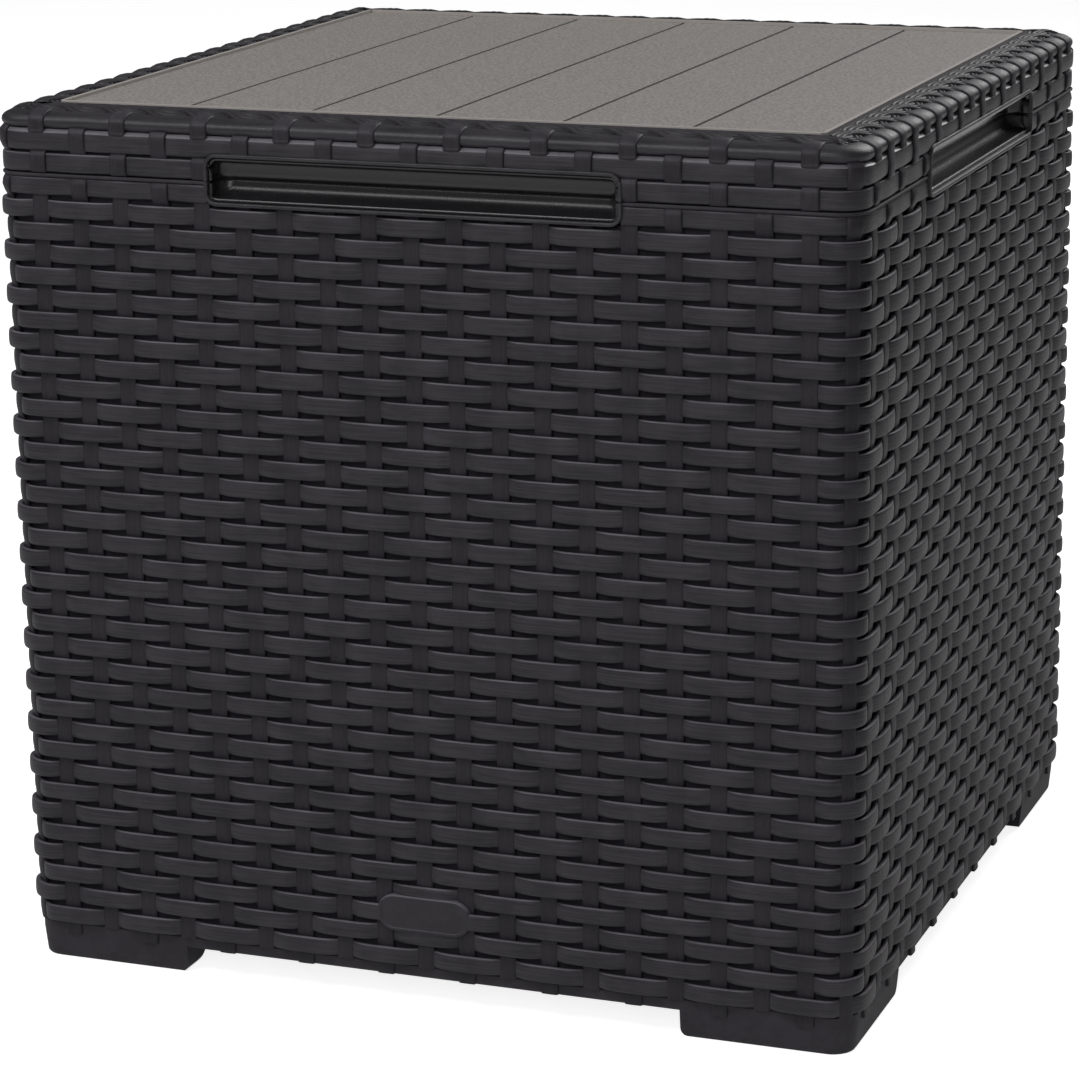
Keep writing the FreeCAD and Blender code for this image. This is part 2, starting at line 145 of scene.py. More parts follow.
# Inside of the walls: ribs, flange, the rim that locates the lid, and the tongues and slots of the joints
RIB_COLUMNS = (4, 9, 14)
RIB_HALF = 1.2
RIB_DEPTH = -16.0
RIB_LEVELS = (28, 483)
FLANGE_IN = -34.0
FLANGE_TOP = 20.4
LOCATOR_START = 135.0
LOCATOR_END = 253.0
LOCATOR_DEPTHS = (-10.0, -7.0)
LOCATOR_LEVELS = (495, 515)
TONGUE_START = 210.0
TONGUE_END = 236.0
TONGUE_DEPTHS = (-11.4, -7.8)
TONGUE_LEVELS = (31, 479)
SLOT_START = 226.0
SLOT_STOP = 236.3
SLOT_END = 238.7
SLOT_DEPTHS = (-14.1, -11.7)
SLOT_STOP_DEPTHS = (-12.2, SKIN_IN + SKIN_BITE)
SLOT_LEVELS = (30, 480)

# Feet
FOOT_END = 164.0
FOOT_FACE = -2.7
FOOT_INSIDE = -5.0
FOOT_DRAFT = 1.8
FOOT_ROUND = 6.0
FOOT_TOP = 24.0
FOOT_EDGE = 2.0
FOOT_DEEP_TOP = 32.0
FOOT_DEEP_LOW = 13.0
FOOT_DEEP_CURVE = 0.6
FOOT_BITE = 0.6
FOOT_LEVELS = np.array([0, 0.5, 1.3, 2.5, 4.0, FOOT_ROUND, 12, WALL_BOTTOM, WALL_BOTTOM + 0.1, FOOT_TOP])

# Plaque, with its section as growth of the outline and depth, from its edge to its field
PLAQUE_HALF = 30.5
PLAQUE_ROUND = 11.3
PLAQUE_Z = 59.4
PLAQUE_HIDES = 28.0
PLAQUE_DIP = 0.9
PLAQUE_END_STEPS = 16
PLAQUE_SECTION = ((0.6, -4.0), (0.6, 0.6), (0.3, 1.3), (-0.3, 1.8), (-0.9, CREST), (-1.6, 1.9), (-2.1, 1.6),
                  (-2.6, 1.5), (-6.0, 1.52), (-9.5, 1.55))

# Rolled edge of the lid and the straps over it, as depths and heights
ROLL_BOTTOM = 535.4
ROLL_SECTION = ((-6.5, 535.3), (-3.2, 535.4), (-1.6, 536.1), (-0.6, 537.4), (-0.2, 539.0), (-0.5, 540.6),
                (-1.5, 541.9), (-3.3, 543.1), (-5.6, 544.1), (-8.6, 544.8), (-11.5, 545.1), (-13.6, 544.8),
                (-15.0, 543.6), (-15.2, 541.0))
STRAP_OVER = [(1.0, 535.0), (1.1, 537.2), (1.2, 539.2), (0.8, 541.2), (-0.4, 542.8), (-2.4, 544.2),
              (-5.0, 545.5), (-8.2, 546.2), (-11.4, 546.4), (-14.0, 546.0), (-15.8, 544.6)]
STRAP_LOW = 532.6
LONG_STRAP_LOW = 520.0

# Twisted border of the lid
BRAID_MID = -19.0
BRAID_SWING = 5.8
BRAID_Z = 545.5
BRAID_RISE = 0.7
BRAID_FALL = 0.35
BRAID_EDGE = -16.5
BRAID_STATIONS = 10
CORD = 1.8
CORD_SIDES = 7
CORD_SPACING = 3.4

# Section of the recess frame: distance outward from its outline, and depth
FRAME_SECTION = ((0.0, -6.0), (0.0, CREST - 0.9), (-0.15, CREST - 0.4), (-0.5, CREST - 0.1), (-1.0, CREST),
                 (-GRIP_LIP + 0.4, CREST - 0.15), (-GRIP_LIP, CREST - 0.6), (-GRIP_LIP, -6.0))

# Sections of the recess in the lid and in the wall, as depths and heights
UPPER_CUP = ((-0.5, CUP_TOP), (-5, CUP_TOP), (-9.5, CUP_TOP - 0.3), (-12.4, CUP_TOP - 1.2),
             (-14.4, CUP_TOP - 2.8), (-15.6, CUP_TOP - 5), (GRIP_DEPTH, CUP_TOP - 7.5), (GRIP_DEPTH, 512),
             (-16.1, 509.8), (-16.6, 508.9), (-20, 508.7))
LOWER_CUP = ((-21, 506.5), (-17.2, 506.9), (-16.3, 506.6), (GRIP_DEPTH, 506), (-15.8, 504.3),
             (-15.2, 502.6), (-14.3, 501), (-13, 499.6), (-11.4, 498.3), (-9.5, 497.3), (-7.4, 496.6),
             (-5.3, 496.1), (-3, 495.9), (-0.5, CUP_BOTTOM))

# Finish, with painted highlight on faces that look upward, on plank edges and on the plank lip, and painted
# shade on the sides of plank grooves
SPECKLE_SCALE = 1300.0
CLOUD_SCALE = 40.0
CLOUD_SHARE = 0.6
GRAIN_SPREAD = 0.13
# Painted highlight on upper faces: it starts on faces that look this far upward and is full on these
TOP_HIGHLIGHT_FROM = 0.3
TOP_HIGHLIGHT_FULL = 0.6
PEBBLE_SCALE = 480.0
PEBBLE_DEPTH = 0.08
# Painted shade of the steep sides of plank grooves, and painted highlight of their edges
GROOVE_SHADE = 0.2
PAINTED_EDGE_HIGHLIGHT = 1.6
LIP_START = 240.0
# Painted highlight of the plank lip
PAINTED_LIP_HIGHLIGHT = 1.1
PLANK_ROUGHNESS = 0.5
PLANK_SPECULAR = 0.4

# Edges softened on the solids that are kept
PLANK_SOFT = 0.55
FLOOR_SOFT = 0.4
SOFT_ANGLE = 30

# Stage and light, in metres and watts. A lamp has a name, a place, a size and its power
STAGE_HALF = 12.0
STAGE_LIFT = 0.85
STAGE_GLEAM = 0.3
WORLD_LIGHT = 0.12
LAMPS_AIM = (0, 0, 0.28)
LAMPS = (("key", (0.85, 2.8, 2.4), 1.6, 53),
         ("top", (-0.9, -1.5, 2.5), 1.4, 34),
         ("fill", (0.4, -3.0, 1.6), 1.0, 15))

# Camera
CAMERA_PLACE = (0.8242, -2.2556, 0.8645)
CAMERA_VIEW = (-0.34032, 0.90487, -0.25574)
CAMERA_UP = (-0.07855, 0.24366, 0.96667)
CAMERA_LENS = 123.74


# Meshes

def strips_across(ring):
    """Faces that close a ring with two long sides, from one side to the other."""
    half = len(ring) // 2
    a, b = ring[:half], ring[half:][::-1]
    return np.stack([a[:-1], b[:-1], b[1:], a[1:]], -1)


def placed(name, mesh, material, body, replaces):
    """The smooth object of a mesh, with its material, its body and the node whose place it takes."""
    mesh.polygons.foreach_set("use_smooth", np.ones(len(mesh.polygons), bool))
    mesh.materials.append(material)
    piece = bpy.data.objects.new(name, mesh)
    bpy.context.scene.collection.objects.link(piece)
    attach(piece, body)
    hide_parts(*replaces)
    return piece


class Gathered:
    """Points and faces gathered part by part, then made into one mesh."""

    def __init__(self):
        self.points = []
        self.faces = []
        self.count = 0

    def add(self, points, faces):
        """Adds one closed part, turned so that its faces look outward."""
        points = np.asarray(points, float).reshape(-1, 3)
        volume = 0.0
        for group in faces:
            a = points[group[:, 0]]
            for n in range(1, group.shape[1] - 1):
                volume += np.einsum("ij,ij->", a, np.cross(points[group[:, n]], points[group[:, n + 1]]))
        for group in faces:
            turned = group if volume > 0 else group[:, ::-1]
            self.faces.append(turned + self.count)
        self.points.append(points)
        self.count += len(points)

    def bar(self, points, loop=False, strips=False):
        """A solid from rings of points, one ring at each station, closed at its ends unless it is a loop.

        Each end is one face, or strips of faces where the ring has two long sides.
        """
        rows, across = points.shape[:2]
        index = np.arange(rows * across).reshape(rows, across)
        near = index if loop else index[:-1]
        far = np.roll(index, -1, axis=0) if loop else index[1:]
        faces = [np.stack([near, np.roll(near, -1, 1), np.roll(far, -1, 1), far], -1).reshape(-1, 4)]
        if strips:
            faces += [strips_across(index[0]), strips_across(index[-1])[:, ::-1]]
        elif not loop:
            faces += [index[:1, ::-1], index[-1:]]
        self.add(points, faces)

    def object(self, name, material, body, replaces, sharp=50):
        """The object made of what was gathered. Edges with a larger angle than sharp stay crisp."""
        mesh = bpy.data.meshes.new(name)
        points = np.concatenate(self.points)
        corners = np.concatenate([f.ravel() for f in self.faces])
        sizes = np.concatenate([np.full(len(f), f.shape[1]) for f in self.faces])
        starts = np.concatenate([[0], np.cumsum(sizes)[:-1]])
        mesh.vertices.add(len(points))
        mesh.vertices.foreach_set("co", points.ravel())
        mesh.loops.add(len(corners))
        mesh.loops.foreach_set("vertex_index", corners.astype(np.int32))
        mesh.polygons.add(len(sizes))
        mesh.polygons.foreach_set("loop_start", starts.astype(np.int32))
        mesh.polygons.foreach_set("loop_total", sizes.astype(np.int32))
        mesh.update(calc_edges=True)
        mesh.validate()
        placed(name, mesh, material, body, replaces)
        mesh.set_sharp_from_angle(angle=math.radians(sharp))


def surface(name, grid, material, body, replaces):
    """The object of an open grid of points, given thickness behind its face."""
    rows, across = grid.shape[:2]
    index = np.arange(rows * across).reshape(rows, across)
    faces = np.stack([index[:-1, :-1], index[:-1, 1:], index[1:, 1:], index[1:, :-1]], -1).reshape(-1, 4)
    mesh = bpy.data.meshes.new(name)
    mesh.from_pydata(grid.reshape(-1, 3).tolist(), [], faces.tolist())
    mesh.validate()
    piece = placed(name, mesh, material, body, replaces)
    solid = piece.modifiers.new("thickness", "SOLIDIFY")
    solid.thickness = CUP_THICK * MM
    solid.offset = 1


# Places along the walls

def turned(x, y, z, turn):
    """Points, in metres, from places on the front turned about the upright axis."""
    return np.stack([x * np.cos(turn) - y * np.sin(turn), x * np.sin(turn) + y * np.cos(turn), z], -1) * MM


def around(t, depth, z):
    """Points at t along the walls from the middle of the front, depth outward and height z."""
    t, depth, z = np.broadcast_arrays(np.asarray(t, float), np.asarray(depth, float), np.asarray(z, float))
    side = np.floor((t + HALF_RUN) / FACE_RUN)
    s = t - side * FACE_RUN
    bend = np.clip(np.abs(s) - FLAT, 0, None) / (HALF_RUN - FLAT) * math.pi / 4
    reach = CORNER + depth
    hub = FLAT + np.minimum(reach, 0)
    radius = np.maximum(reach, 0)
    x = np.sign(s) * (np.minimum(np.abs(s), hub) + radius * np.sin(bend))
    y = -(hub + radius * np.cos(bend))
    return turned(x, y, z, side * math.pi / 2)


def around_face(face, x, depth, z):
    """Points of a flat face, which keep to its plane however far they reach."""
    x, depth, z = np.broadcast_arrays(np.asarray(x, float), np.asarray(depth, float), np.asarray(z, float))
    return turned(x, -(HALF + depth), z, face * math.pi / 2)


def stations_between(start, end, step):
    """Even stations from start to end, about a step apart."""
    count = max(2, int(round(abs(end - start) / step)) + 1)
    return np.linspace(start, end, count)


def smoothstep(value, low, high):
    """Share that rises smoothly from 0 at low to 1 at high."""
    share = np.clip((np.asarray(value, float) - low) / (high - low), 0, 1)
    return share * share * (3 - 2 * share)


def in_grip(t, half):
    """Whether a strand centred at t, half wide, lies wholly within the finger recess of its face."""
    s = (t + HALF_RUN) % FACE_RUN - HALF_RUN
    return abs(s) + half < GRIP_HALF + CREST


def grip_crown(t):
    """Height of the middle of a recess frame's upper edge, and 0 where there is no recess."""
    s = np.abs((t + HALF_RUN) % FACE_RUN - HALF_RUN)
    bend = np.clip(s - (GRIP_HALF - GRIP_CORNER), 0, GRIP_CORNER)
    top = GRIP_TOP - LAP - GRIP_CORNER + np.sqrt(GRIP_CORNER ** 2 - bend ** 2)
    return np.where(s < GRIP_HALF, top, 0)


def spans(start, end, z, half):
    """The runs of a level strand between start and end that are clear of the finger recesses."""
    if z + half < GRIP_BOTTOM or z > GRIP_TOP:
        return [(start, end)]
    runs = []
    edge = start
    for side in range(-1, FACES + 1):
        low = side * FACE_RUN - GRIP_HALF + LAP
        high = side * FACE_RUN + GRIP_HALF - LAP
        if start < low < end:
            runs.append((edge, low))
            edge = high
    runs.append((edge, end))
    return runs


def joined_spans(z, half):
    """The runs between the finger recesses right round the lid, the last one joined to the first."""
    runs = spans(LOOP_START, LOOP_END, z, half)
    return runs[1:-1] + [(runs[-1][0], runs[0][1] + FACES * FACE_RUN)]


def columns_between(start, end):
    """Numbers and places of the upright strands from start to end along the walls."""
    first = math.ceil(start / PITCH - 1e-6)
    last = math.floor(end / PITCH + 1e-6)
    return [(n + MIDDLE_COLUMN, n * PITCH) for n in range(first, last + 1)]


# Strands

def strand_section(crown, edge, thick, back=0.9):
    """Section of a strand: shares of its half width, and depths under its face."""
    half = np.array([0.3, 0.62, 0.86, 0.955, 1.0])
    drop = np.array([0.1 * crown, 0.45 * crown, crown, crown + 0.4 * (edge - crown), edge])
    across = np.concatenate([-half[::-1], [0], half, [back, -back]])
    under = np.concatenate([drop[::-1], [0], drop, [thick, thick]])
    return across, -under


LEVEL_SECTION = strand_section(0.35, 1.3, 3.2)
UPRIGHT_SECTION = strand_section(0.25, 1.1, 2.6)
FLAT_SECTION = strand_section(0.25, 1.2, 5.4)
UPPER_SECTION = strand_section(0.6, 1.8, 7.0, 1.0)
STRAP_SECTION = strand_section(0.35, 1.2, 1.9)
LEDGE_SECTION = (np.array([0.84, 0.92, 1.22, 1.22, 0.84]), np.array([-0.8, -0.5, -2.4, -7.0, -7.0]))


def level_strand(parts, start, end, z, depth, half=LEVEL_HALF, section=LEVEL_SECTION, loop=False):
    """A strand along the wall. Its depth is a function of the place along the wall."""
    across, under = section
    t = stations_between(start, end, LEVEL_STEP)
    if loop:
        t = t[:-1]
    t = t[:, None]
    height = np.maximum(z + across * half, grip_crown(t) if z > GRIP_TOP else 0)
    parts.bar(around(t, depth(t) + under, height), loop)


def upright_strand(parts, t, low, high, depth):
    """A strand up the wall. Its depth is a function of the height."""
    across, under = UPRIGHT_SECTION
    z = stations_between(low, high, UPRIGHT_STEP)[:, None]
    parts.bar(around(t + across * UPRIGHT_HALF, depth(z) + under, z))


def flat_depth(phase, mid=FLAT_ROW_MID):
    """Depth of a nearly flat level strand, highest over the uprights of its phase."""
    return lambda t: mid + FLAT_ROW_SWING * np.cos(math.pi * (t / PITCH + MIDDLE_COLUMN + phase))


def bulged_depth(phase):
    """Depth of a level strand that bulges over the uprights of its phase and dives under the rest.

    The strands of the front and the back are flatter and turn in more sharply than those of the sides.
    """
    def depth(t):
        away = np.abs((t / PITCH + MIDDLE_COLUMN + phase + 1) % 2 - 1)
        face = np.floor((t + HALF_RUN) / FACE_RUN)
        curve = np.where(face % 2 == 0, FRONT_CURVE, SIDE_CURVE)
        drop = np.where(face % 2 == 0, FRONT_DROP, SIDE_DROP)
        return LEVEL_CREST - drop * np.minimum(away / LEVEL_SHOWN, LEVEL_DIVE_END) ** curve
    return depth


def row_depth(row):
    """Depth of a level strand of the walls along its run. Beside the plaque it lies a little lower."""
    if row == 0:
        return flat_depth(row)
    usual = bulged_depth(row)
    beside = abs(ROW_0_Z - ROW * row - PLAQUE_Z) < PLAQUE_ROUND + LEVEL_HALF
    return lambda t: usual(t) - np.where(beside & (np.abs(t) < PITCH), PLAQUE_DIP, 0)


def upright_depth(column):
    """Depth of an upright strand of the walls at a height. It lifts where it passes over the top row."""
    def depth(z):
        row = (ROW_0_Z - z) / ROW
        swing = -np.cos(math.pi * (row + column))
        lift = smoothstep(z, ROW_0_Z - ROW * 0.75, ROW_0_Z - ROW * 0.35)
        return UPRIGHT_MID + UPRIGHT_SWING * swing + lift * np.clip(swing, 0, 1) * FLAT_ROW_RISE
    return depth


def lid_upright_depth(even):
    """Depth of an upright strand of the lid: over one course and under the other."""
    rise_from, rise_to, fall_from, fall_to = EVEN_OVER if even else ODD_OVER
    reach = EVEN_REACH if even else ODD_REACH

    def depth(z):
        over = smoothstep(z, rise_from, rise_to) * (1 - smoothstep(z, fall_from, fall_to))
        return LID_UPRIGHT_MID + over * (reach - LID_UPRIGHT_MID)
    return depth


def profile_sweep(parts, profile, start, end, loop=False):
    """A section of depths and heights swept along the wall."""
    profile = np.asarray(profile, float)
    t = stations_between(start, end, SWEEP_STEP)
    if loop:
        t = t[:-1]
    parts.bar(around(t[:, None], profile[:, 0], profile[:, 1]), loop)


def box_profile(out, inn, low, high, edge=0.4):
    """Rectangle with softened outer edges, as depths and heights."""
    face = [(out - edge, low), (out, low + edge), (out, high - edge), (out - edge, high)]
    return [(inn, low)] + face + [(inn, high)]


# Materials

def new_material(name):
    """A material with its node tree and its shader."""
    material = bpy.data.materials.new(name)
    material.use_nodes = True
    tree = material.node_tree
    shader = tree.nodes["Principled BSDF"]
    return material, tree, shader


def linked(tree, kind, inputs=None, **settings):
    """A node with its settings, its input values and its links."""
    node = tree.nodes.new(kind)
    for key, value in settings.items():
        setattr(node, key, value)
    for key, value in (inputs or {}).items():
        if isinstance(value, bpy.types.NodeSocket):
            tree.links.new(value, node.inputs[key])
        else:
            node.inputs[key].default_value = value
    return node


def place_of(tree):
    """Place on the object, in metres."""
    return linked(tree, "ShaderNodeTexCoord").outputs["Object"]


def facing(tree, axis):
    """How far a face looks along an axis."""
    normal = linked(tree, "ShaderNodeNewGeometry").outputs["True Normal"]
    return linked(tree, "ShaderNodeSeparateXYZ", {0: normal}).outputs[axis]


def computed(tree, operation, *values):
    """Result of a sum, a product or the like."""
    return linked(tree, "ShaderNodeMath", dict(enumerate(values)), operation=operation).outputs[0]


def ranged(tree, value, start, end, low, high):
    """A value that goes from low to high while another one goes from start to end."""
    return linked(tree, "ShaderNodeMapRange", {0: value, 1: start, 2: end, 3: low, 4: high}).outputs[0]


def mixed(tree, share, first, second, blend="MIX"):
    """Two colours mixed by a share, or multiplied."""
    inputs = {0: share, 6: first, 7: second}
    return linked(tree, "ShaderNodeMix", inputs, data_type="RGBA", blend_type=blend).outputs[2]


def noise(tree, place, scale, detail, roughness=0.5):
    """Noise at a place, between 0 and 1."""
    inputs = {"Vector": place, "Scale": scale, "Detail": detail, "Roughness": roughness}
    return linked(tree, "ShaderNodeTexNoise", inputs).outputs["Fac"]


def relief(tree, height, depth, normal=None):
    """Normal of a relief so many millimetres deep, laid over another relief where there is one."""
    inputs = {"Height": height, "Strength": 1.0, "Distance": depth * MM}
    if normal is not None:
        inputs["Normal"] = normal
    return linked(tree, "ShaderNodeBump", inputs).outputs[0]


def resin(name, dark, light, stretch, roughness, grain_depth, speckle_depth, specular=0.5, top_highlight=1.0):
    """Moulded resin: grain along a strand, fine speckle, slow shifts of tone, and upper faces painted
    lighter as a highlight.
    """
    material, tree, shader = new_material(name)
    place = place_of(tree)
    along = linked(tree, "ShaderNodeMapping", {"Vector": place, "Scale": stretch}).outputs[0]
    grain = noise(tree, along, 1.0, 4.0, 0.7)
    speckle = noise(tree, place, SPECKLE_SCALE, 2.0)
    cloud = noise(tree, place, CLOUD_SCALE, 3.0)
    tone = computed(tree, "ADD", grain, computed(tree, "MULTIPLY", cloud, CLOUD_SHARE))
    middle = 0.5 + 0.5 * CLOUD_SHARE
    share = ranged(tree, tone, middle - GRAIN_SPREAD, middle + GRAIN_SPREAD, 0.0, 1.0)
    colour = mixed(tree, share, (*dark, 1), (*light, 1))
    # Painted highlight: faces that look upward are made lighter, by up to the given factor
    painted_top_highlight = ranged(tree, facing(tree, "Z"), TOP_HIGHLIGHT_FROM, TOP_HIGHLIGHT_FULL, 1.0, top_highlight)
    rough = ranged(tree, speckle, 0.3, 0.7, roughness - 0.06, roughness + 0.08)
    fine = relief(tree, speckle, speckle_depth)
    tree.links.new(mixed(tree, 1.0, colour, painted_top_highlight, "MULTIPLY"), shader.inputs["Base Color"])
    tree.links.new(rough, shader.inputs["Roughness"])
    tree.links.new(relief(tree, grain, grain_depth, fine), shader.inputs["Normal"])
    shader.inputs["Specular IOR Level"].default_value = specular
    return material


def plank_finish(name, dark, light):
    """Moulded plank: fine pebble grain, painted shade on the steep sides of its grooves, painted highlight
    on their edges, and a plain lip painted lighter as a highlight.
    """
    material, tree, shader = new_material(name)
    place = place_of(tree)
    pebble = noise(tree, place, PEBBLE_SCALE, 3.0, 0.75)
    share = ranged(tree, pebble, 0.4, 0.6, 0.0, 1.0)
    # Painted shade on the steep sides of the grooves and painted highlight on their gently sloped edges
    steep = computed(tree, "ABSOLUTE", facing(tree, "X"))
    side = ranged(tree, steep, 0.5, 0.6, 1.0, GROOVE_SHADE)
    edge = ranged(tree, steep, 0.1, 0.2, 1.0, PAINTED_EDGE_HIGHLIGHT)
    painted_groove_shade_and_highlight = computed(tree, "MULTIPLY", side, edge)
    spot = linked(tree, "ShaderNodeSeparateXYZ", {0: place})
    away = [computed(tree, "ABSOLUTE", spot.outputs[axis]) for axis in "XY"]
    # On the lip the pebble grain is left out; the lip takes the light plank colour and is painted lighter
    # still as a highlight
    lip = computed(tree, "GREATER_THAN", computed(tree, "MAXIMUM", *away), LIP_START * MM)
    shade = ranged(tree, lip, 0.0, 1.0, painted_groove_shade_and_highlight, PAINTED_LIP_HIGHLIGHT)
    grain = computed(tree, "MAXIMUM", share, lip)
    base = mixed(tree, grain, (*dark, 1), (*light, 1))
    rough = ranged(tree, side, GROOVE_SHADE, 1.0, 1.0, PLANK_ROUGHNESS)
    tree.links.new(mixed(tree, 1.0, base, shade, "MULTIPLY"), shader.inputs["Base Color"])
    tree.links.new(rough, shader.inputs["Roughness"])
    tree.links.new(relief(tree, pebble, PEBBLE_DEPTH), shader.inputs["Normal"])
    shader.inputs["Specular IOR Level"].default_value = PLANK_SPECULAR
    return material


LEVEL_RESIN = resin("wicker_level", (0.0210, 0.0191, 0.0227), (0.0440, 0.0402, 0.0469), (26, 26, 1100),
                    roughness=0.5, grain_depth=0.16, speckle_depth=0.1, specular=0.3, top_highlight=3.2)
ROLL_RESIN = resin("wicker_roll", (0.0190, 0.0173, 0.0207), (0.0370, 0.0339, 0.0395), (26, 26, 700),
                   roughness=0.44, grain_depth=0.1, speckle_depth=0.14, specular=0.36)
UPRIGHT_RESIN = resin("wicker_upright", (0.0225, 0.0202, 0.0243), (0.0325, 0.0294, 0.0348), (900, 900, 30),
                      roughness=0.54, grain_depth=0.08, speckle_depth=0.06, specular=0.22, top_highlight=1.6)
BRAID_RESIN = resin("wicker_braid", (0.0260, 0.0236, 0.0281), (0.0370, 0.0338, 0.0396), (200, 200, 200),
                    roughness=0.5, grain_depth=0.04, speckle_depth=0.04, specular=0.3)
# Pale resin of the ledge under the rolled edge: a painted highlight
LEDGE_HIGHLIGHT_RESIN = resin("ledge_painted_highlight", (0.1300, 0.1205, 0.1360), (0.1700, 0.1580, 0.1780), (90, 90, 90),
                   roughness=0.34, grain_depth=0.0, speckle_depth=0.02, specular=0.8)
PLAQUE_RESIN = resin("plaque_resin", (0.0280, 0.0254, 0.0300), (0.0350, 0.0320, 0.0376), (90, 90, 90),
                     roughness=0.5, grain_depth=0.03, speckle_depth=0.04, specular=0.3, top_highlight=3.5)
SHELL_RESIN = resin("wicker_shell", (0.0340, 0.0308, 0.0365), (0.0440, 0.0402, 0.0474), (120, 120, 120),
                    roughness=0.6, grain_depth=0.05, speckle_depth=0.04, specular=0.2)
CUP_RESIN = resin("recess_resin", (0.0130, 0.0119, 0.0137), (0.0160, 0.0147, 0.0169), (90, 90, 90),
                  roughness=0.3, grain_depth=0.0, speckle_depth=0.0)
SMOOTH_RESIN = resin("smooth_resin", (0.0100, 0.0091, 0.0106), (0.0130, 0.0119, 0.0137), (90, 90, 90),
                     roughness=0.2, grain_depth=0.0, speckle_depth=0.0)
PLANK_RESIN = plank_finish("plank_resin", (0.205, 0.188, 0.175), (0.385, 0.357, 0.336))
FLOOR_RESIN = resin("floor_resin", (0.019, 0.0173, 0.0205), (0.026, 0.024, 0.028), (150, 150, 150),
                    roughness=0.6, grain_depth=0.05, speckle_depth=0.04, specular=0.25)


# Walls

def parted_by_plaque(runs, z):
    """The runs of a level strand, with the part behind the plaque of the front wall left out."""
    parted = []
    for a, b in runs:
        if a < 0 < b and abs(z - PLAQUE_Z) < LEVEL_HALF:
            parted += [(a, -PLAQUE_HIDES), (PLAQUE_HIDES, b)]
        else:
            parted.append((a, b))
    return parted


def wall_level_strands(start, end):
    """Level strands of a wall, in runs that stop at the finger recess and behind the plaque."""
    parts = Gathered()
    for row in range(LAST_ROW + 1):
        z = ROW_0_Z - ROW * row
        for a, b in parted_by_plaque(spans(start + SEAM_GAP, end - SEAM_GAP, z, LEVEL_HALF), z):
            level_strand(parts, a, b, z, row_depth(row))
    return parts


def wall_upright_strands(start, end):
    """Upright strands of a wall, the even ones down over the band at its foot."""
    parts = Gathered()
    for column, t in columns_between(start, end):
        top = GRIP_BOTTOM + LAP if in_grip(t, UPRIGHT_HALF) else RIM_BOTTOM + 0.4
        low = PAD_LOW if column % 2 == 0 else BAND_TOP - LAP
        upright_strand(parts, t, low, top, upright_depth(column))
    return parts


def foot_faces():
    """Outer and inner depths of a foot at its levels, and how far its free ends are drawn in there."""
    draft = FOOT_DRAFT * np.clip(1 - FOOT_LEVELS / WALL_BOTTOM, 0, 1)
    rise = np.clip(FOOT_EDGE ** 2 - (FOOT_EDGE - FOOT_LEVELS) ** 2, 0, None)
    edge = np.where(FOOT_LEVELS < FOOT_EDGE, FOOT_EDGE - np.sqrt(rise), 0)
    outer = FOOT_FACE - draft - edge
    share = (FOOT_LEVELS / WALL_BOTTOM) ** FOOT_DEEP_CURVE
    inner = FOOT_INSIDE - FOOT_DEEP_LOW - (FOOT_DEEP_TOP - FOOT_DEEP_LOW) * share
    inner = np.where(FOOT_LEVELS > WALL_BOTTOM, SKIN_IN + FOOT_BITE, inner)
    lift = np.clip(FOOT_ROUND - FOOT_LEVELS, 0, None)
    shrink = FOOT_ROUND - np.sqrt(FOOT_ROUND ** 2 - lift ** 2)
    return outer, inner, shrink


def foot(parts, start, end, free_start, free_end):
    """A foot from start to end along the wall, rounded at its free ends and drawn in downward."""
    outer, inner, shrink = foot_faces()
    t = stations_between(start, end, SWEEP_STEP)[:, None]
    t = np.clip(t, start + shrink * free_start, end - shrink * free_end)
    ring_t = np.concatenate([t, t[:, ::-1]], 1)
    depth = np.concatenate([outer, inner[::-1]])
    z = np.concatenate([FOOT_LEVELS, FOOT_LEVELS[::-1]])
    parts.bar(around(ring_t, depth, z), strips=True)


def feet_of(start, end):
    """The feet, or the shares of feet, that lie between start and end, and which of their ends are free."""
    found = []
    first, last = start + SEAM_GAP, end - SEAM_GAP
    for corner in range(-1, FACES + 1):
        middle = (corner + 0.5) * FACE_RUN
        low = max(first, middle - HALF_RUN + FOOT_END)
        high = min(last, middle + HALF_RUN - FOOT_END)
        if low < high:
            found.append((low, high, low > first, high < last))
    return found


def wall_shell(start, end):
    """What lies behind the strands of a wall, along its whole run: skin, top rim, band, flange and feet."""
    parts = Gathered()
    a, b = start + SEAM_GAP, end - SEAM_GAP
    profile_sweep(parts, box_profile(SKIN_OUT, SKIN_IN, WALL_BOTTOM, GRIP_BOTTOM), a, b)
    for low, high in spans(a, b, WALL_TOP, LAP):
        profile_sweep(parts, box_profile(SKIN_OUT, SKIN_IN, GRIP_BOTTOM - LAP, WALL_TOP), low, high)
        profile_sweep(parts, box_profile(RIM_DEPTH, SKIN_IN, RIM_BOTTOM, WALL_TOP, 0.6), low, high)
    profile_sweep(parts, box_profile(BAND_DEPTH, SKIN_IN, WALL_BOTTOM, BAND_TOP, 1.2), a, b)
    profile_sweep(parts, box_profile(SKIN_IN + SKIN_BITE, FLANGE_IN, WALL_BOTTOM, FLANGE_TOP, 0.2), a, b)
    for share in feet_of(start, end):
        foot(parts, *share)
    return parts


def slab(parts, face, x, depth, z):
    """Flat bar behind a face, between pairs of places, depths and heights."""
    plan_x = [x[0], x[1], x[1], x[0]]
    plan_depth = [depth[0], depth[0], depth[1], depth[1]]
    parts.bar(np.array([around_face(face, plan_x, plan_depth, level) for level in z]))


